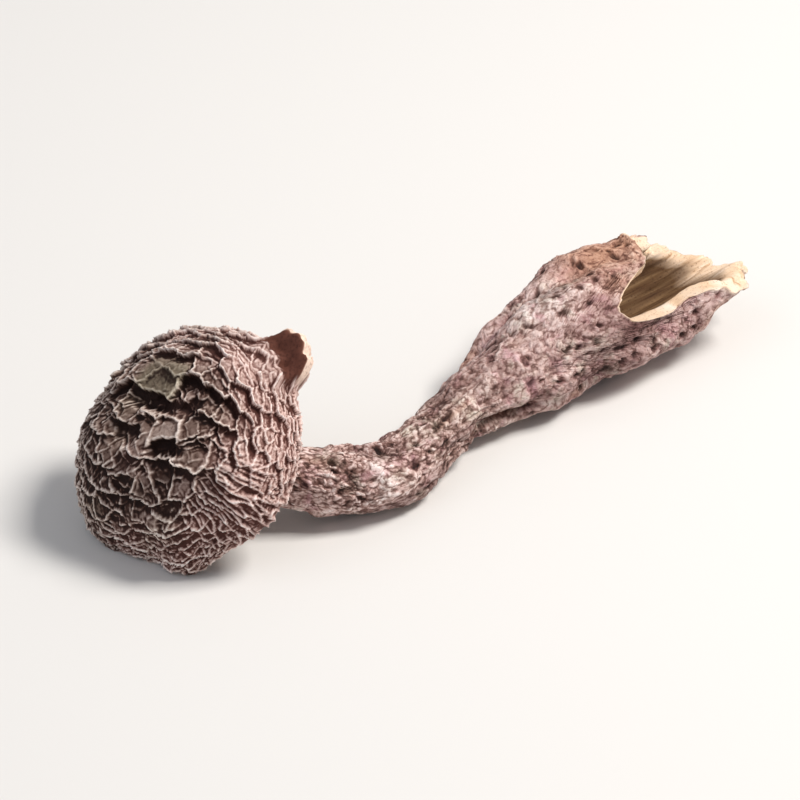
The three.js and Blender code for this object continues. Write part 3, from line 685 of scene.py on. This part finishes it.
def stem_surface(angle, distance, share, inside):
    """Position at an angle and distance, at a share of the radius: an ellipse square to the middle line,
    moved out by the folds and the grain. The pit's wall has fibres along it in place of grain."""
    u = stem_u(distance)
    row = along(STEM_LINE, u)
    ahead = along(STEM_LINE, u + 0.02)[..., :3] - along(STEM_LINE, u - 0.02)[..., :3]
    ahead /= np.linalg.norm(ahead, axis=-1, keepdims=True)
    side = np.cross(ahead, [0, 0, 1])
    side /= np.linalg.norm(side, axis=-1, keepdims=True)
    up = np.cross(side, ahead)
    radius = np.sqrt(row[..., 3] * row[..., 4])
    folds = stem_folds(angle, distance, radius)
    grain, grain_light_and_shade = stem_grain(angle, distance, radius)
    sway = angle + 0.14 * cloud(2 * np.cos(angle), 2 * np.sin(angle), distance / 4, 99)
    fibre_x, fibre_y = 10 * np.cos(sway), 10 * np.sin(sway)
    fibre = 0.8 * cloud(fibre_x, fibre_y, distance / 3.5, 97)
    fibre += 0.5 * cloud(3 * fibre_x, 3 * fibre_y, distance / 2.5, 98)
    skin = folds + mix(grain, 0.35 * fibre, inside)
    out = share * (row[..., 3] + skin) * np.cos(angle)
    over = share * (row[..., 4] + skin) * np.sin(angle)
    place = row[..., :3] - FOOTPRINT_MIDDLE + out[..., None] * side + over[..., None] * up
    return place, mix(grain_light_and_shade, 0.5 - 0.5 * fibre, inside), radius


def stem_grid():
    """Rows from the cap to the torn edge, and on over it down into the pit."""
    turn = np.linspace(0, 2 * math.pi, 190, endpoint=False)
    run = np.linspace(0, 1, 468)[:, None]
    edge = tear(turn) + ragged(turn)
    outer = STEM_LENGTH * run + edge * smoothstep(0.55, 1, run)
    pit = along(PIT_ROWS, np.linspace(0, len(PIT_ROWS) - 1, 46)[1:])
    inner = STEM_LENGTH + pit[:, 1:2] * edge - pit[:, 2:3]
    distance = np.vstack([outer, inner])
    angle = np.broadcast_to(turn, distance.shape)
    share = np.concatenate([np.ones(len(run)), pit[:, 0]])[:, None] * np.ones_like(distance)
    inside = np.concatenate([np.zeros(len(run)), smoothstep(0, 4, np.arange(len(pit)))])[:, None]
    return angle, distance, share, inside * np.ones_like(distance), distance - STEM_LENGTH - edge


def stem_place(tree, across, over, run, wander_mm):
    """Where a point lies in millimetres across, over and along the stem, wandering by a noise."""
    place = add_node(tree, "CombineXYZ", {"X": across, "Y": over, "Z": run})
    noise = add_node(tree, "TexNoise", {"Vector": place}, inputs={"Scale": 0.9, "Detail": 2.0},
                     output="Color")
    wander = add_node(tree, "VectorMath", {0: noise}, inputs={"Scale": wander_mm}, operation="SCALE")
    return add_node(tree, "VectorMath", {0: place, 1: wander}, operation="ADD")


def pebbles(tree, place, size_mm):
    """How far a point is from the middle of its grain, 0 there and about 1 in the hollow between grains
    of the given size."""
    away = add_node(tree, "TexVoronoi", {"Vector": place}, inputs={"Scale": 1 / size_mm})
    return add_node(tree, "MapRange", {"Value": away}, inputs={"From Min": 0.1, "From Max": 0.75})


def dried_stem_skin():
    """Stem skin dried to a grained leather: matt, its grains mauve-grey to pale pink with painted shade in
    the clefts, with grey-green and pink patches, a painted highlight on the top of the club's shoulder,
    browner on its upper side, and a painted shadow beside the foot among darker blotches. The torn flesh
    is cream at its edge and olive-brown in the pit, darker further down it as painted shade."""
    material, tree, shader, *numbers = new_material(
        "dried_stem_skin", ["dark", "clubward", "neck", "pale", "browned", "foot_shadow_and_blotches", "torn", "sunk",
                            "grained", "across", "over", "along"])
    dark, clubward, neck, pale, browned, foot_shadow_and_blotches, torn, sunk, grained, *place = numbers
    mauve = add_node(tree, "Math", {0: patches(tree, 1.7, 0.5, 0.72), 1: clubward}, operation="MULTIPLY")
    # Every coat is shaded by the dark tone, which paints light and shade on the grains.
    skin = coats(
        tree, dark,
        [(0.0, "#fffcfb"), (0.25, "#fff0ed"), (0.45, "#efd6d1"), (0.7, "#a5837b"), (1.0, "#3c1f18")],
        (clubward, [(0.0, "#f7e7e2"), (0.25, "#e5cdc8"), (0.45, "#ceb1ad"), (0.7, "#97736f"),
                    (1.0, "#432722")]),
        (neck, [(0.0, "#eee4dd"), (0.3, "#c9bab2"), (0.6, "#947c72"), (1.0, "#463128")]),
        # Painted highlight on the top of the club's shoulder.
        (pale, [(0.0, "#fffdfa"), (0.35, "#fdf3ef"), (0.65, "#e6d2cb"), (1.0, "#6f5047")]),
        (patches(tree, 4.5, 0.52, 0.7), [(0.0, "#fbf7ee"), (0.4, "#d6cdc0"), (1.0, "#46392c")]),
        (patches(tree, 2.6, 0.53, 0.72), [(0.0, "#f3d0d2"), (0.4, "#c4999d"), (1.0, "#4a282a")]),
        (mauve, [(0.0, "#c2a6a0"), (0.4, "#92746e"), (1.0, "#3a211c")]),
        (browned, [(0.0, "#f6d6c0"), (0.35, "#cfa38b"), (0.7, "#946b56"), (1.0, "#4f3122")]),
        # Painted shadow beside the foot, and darker blotches at random.
        (foot_shadow_and_blotches, [(0.0, "#ab8783"), (0.4, "#7a5754"), (1.0, "#2c1715")]),
        (torn, [(0.0, "#fbeada"), (0.6, "#ebcdae"), (1.0, "#bd9571")]),
        # Olive-brown flesh in the pit, darker further down it as painted shade.
        (sunk, [(0.0, "#8f7150"), (0.6, "#5e4128"), (1.0, "#331d0e")]),
    )
    place = stem_place(tree, *place, 1.6)
    hollow = add_node(tree, "Mix", {2: pebbles(tree, place, 0.65), 3: pebbles(tree, place, 0.4)},
                      inputs={0: 0.45})
    hollow = add_node(tree, "Mix", {2: hollow, 3: patches(tree, 0.5, 0, 1, roughness=0.7)}, inputs={0: 0.35})
    hollow = add_node(tree, "Math", {0: hollow, 1: grained}, operation="MULTIPLY")
    # Painted shade in the hollows between the grains, multiplied over the skin.
    shade = coats(tree, hollow, [(0.3, "#ffffff"), (0.5, "#f1e9e6"), (0.66, "#a9958f"), (0.84, "#57413b")])
    skin = add_node(tree, "Mix", {6: skin, 7: shade}, inputs={0: 1.0}, output=2,
                    data_type="RGBA", blend_type="MULTIPLY")
    colour = mottled(tree, skin, 0.3, 0.55, 0.7, "#b3a39e")[0]
    relief = add_node(tree, "Math", {1: hollow}, inputs={0: 1.0}, operation="SUBTRACT")
    matt_finish(tree, shader, colour, relief, 0.35, 0.8)
    return material


angle, distance, share, inside, from_edge = stem_grid()
surface, dark, stem_radius = stem_surface(angle, distance, share, inside)
clubward = smoothstep(0.38, 0.62, distance / STEM_LENGTH)
patch = cloud(np.cos(angle) * 1.4, np.sin(angle) * 1.4, distance / 9, 73)
browned = np.clip(bulge(angle, 105, 36) * smoothstep(0.72, 0.85, distance / STEM_LENGTH)
                  + 0.5 * smoothstep(0.4, 0.8, patch), 0, 1)
# Painted shadow on the club beside the foot's hollow, and darker blotches at random.
foot_shadow_and_blotches = bulge(angle, 26, 26) * np.exp(-((distance - 65) / 5) ** 2) + 0.5 * smoothstep(0.3, 0.8, -patch)
# Painted highlight on the top of the club, where the key light falls.
club_top_highlight = bulge(angle, 98, 24) * np.exp(-((distance - 57.5) / 5) ** 2)
cream_reach = 1.0 + 2.8 * bulge(angle, 262, 48)
torn = np.maximum(smoothstep(-0.4 - 1.4 * bulge(angle, 280, 32), 0.2, from_edge + 0.5 * patch), inside)
# Painted shade that deepens down the pit, over its olive-brown flesh.
sunk = inside * smoothstep(0.6 * cream_reach, 1.6 * cream_reach, -from_edge)
marks = {
    "dark": np.clip(dark, 0, 1), "clubward": clubward, "browned": browned, "pale": club_top_highlight,
    "foot_shadow_and_blotches": np.clip(foot_shadow_and_blotches, 0, 1), "torn": torn, "sunk": sunk, "neck": 0.6 * neck_share(distance),
    "grained": (1 - torn) * (1 - 0.15 * clubward), "across": stem_radius * np.cos(angle),
    "over": stem_radius * np.sin(angle), "along": distance / GRAIN_STRETCH,
}
marks = {label: values[:, ::-1] for label, values in marks.items()}
stem = closed_mesh("stem_flesh", surface[:, ::-1], marks, caps=True)
stem.data.materials.append(dried_stem_skin())
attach(stem, "root")
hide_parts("stem")

# Floor, light and camera
# Matt white paper, a soft key light from high on the right, a wider and weaker one from the left, and a
# long lens that looks down on the mushroom from in front and a little to the left.

VIEW_AZIMUTH, VIEW_ELEVATION = math.radians(-32), math.radians(36)  # of the eye, from the cap
CAP_SEEN = np.array([-34.6, 0, 11.6])
VIEW_DISTANCE = 420
VIEW_WIDTH = 92  # of what the picture takes in, at the mushroom
AIM_RIGHT, AIM_UP = 24.3, 4.6  # where the view is centred, from the cap
SENSOR = 36  # width of the camera's sensor, in mm

bpy.ops.mesh.primitive_plane_add(size=3)
floor = bpy.context.object
floor.name = "floor"
floor_material, _, shader = new_material("matt_paper")  # white paper with no gloss
shader.inputs["Base Color"].default_value = linear("#e2e1df")
shader.inputs["Roughness"].default_value = 0.9
floor.data.materials.append(floor_material)

middle = np.array([sum(pair) / 2 for pair in zip(*cad_box)])


def bearing(azimuth, elevation):
    """The way from the mushroom to a place at an azimuth from the front and an elevation, in radians."""
    return np.array([math.sin(azimuth) * math.cos(elevation), -math.cos(azimuth) * math.cos(elevation),
                     math.sin(elevation)])


def soft_light(name, azimuth, elevation, distance, size, power, colour):
    """A square area light, metres wide and metres away at a bearing from the mushroom, turned to face it."""
    lamp = bpy.data.lights.new(name, "AREA")
    lamp.size, lamp.energy, lamp.color = size, power, linear(colour)[:3]
    holder = bpy.data.objects.new(name, lamp)
    way = bearing(azimuth, elevation)
    holder.location = middle + distance * way
    holder.rotation_euler = Vector(way).to_track_quat("Z", "Y").to_euler()
    bpy.context.scene.collection.objects.link(holder)


soft_light("key_light", math.radians(62), math.radians(58), distance=0.6, size=0.2, power=4.0,
           colour="#fffaf4")
soft_light("fill_light", math.radians(-95), math.radians(40), distance=0.7, size=0.6, power=1.0,
           colour="#eef2ff")
world = bpy.data.worlds.new("studio_air")
world.use_nodes = True
world.node_tree.nodes["Background"].inputs["Color"].default_value = linear("#f4f4f6")
world.node_tree.nodes["Background"].inputs["Strength"].default_value = 0.34
bpy.context.scene.world = world
bpy.context.scene.view_settings.view_transform = "Standard"

lens = bpy.data.cameras.new("camera")
lens.sensor_width = SENSOR
lens.lens = SENSOR * VIEW_DISTANCE / VIEW_WIDTH
# The eye stands where it would look straight at the cap, and is then turned to centre the whole mushroom.
back = bearing(VIEW_AZIMUTH, VIEW_ELEVATION)
rightward = np.array([math.cos(VIEW_AZIMUTH), math.sin(VIEW_AZIMUTH), 0.0])
upward = np.cross(back, rightward)
eye = CAP_SEEN + VIEW_DISTANCE * back
back = eye - (CAP_SEEN + AIM_RIGHT * rightward + AIM_UP * upward)
back /= np.linalg.norm(back)
rightward -= (rightward @ back) * back
rightward /= np.linalg.norm(rightward)
camera = bpy.data.objects.new("camera", lens)
camera.matrix_world = Matrix(np.vstack([
    np.column_stack([rightward, np.cross(back, rightward), back, eye * MM]), [0, 0, 0, 1],
]).tolist())
bpy.context.scene.collection.objects.link(camera)
bpy.context.scene.camera = camera
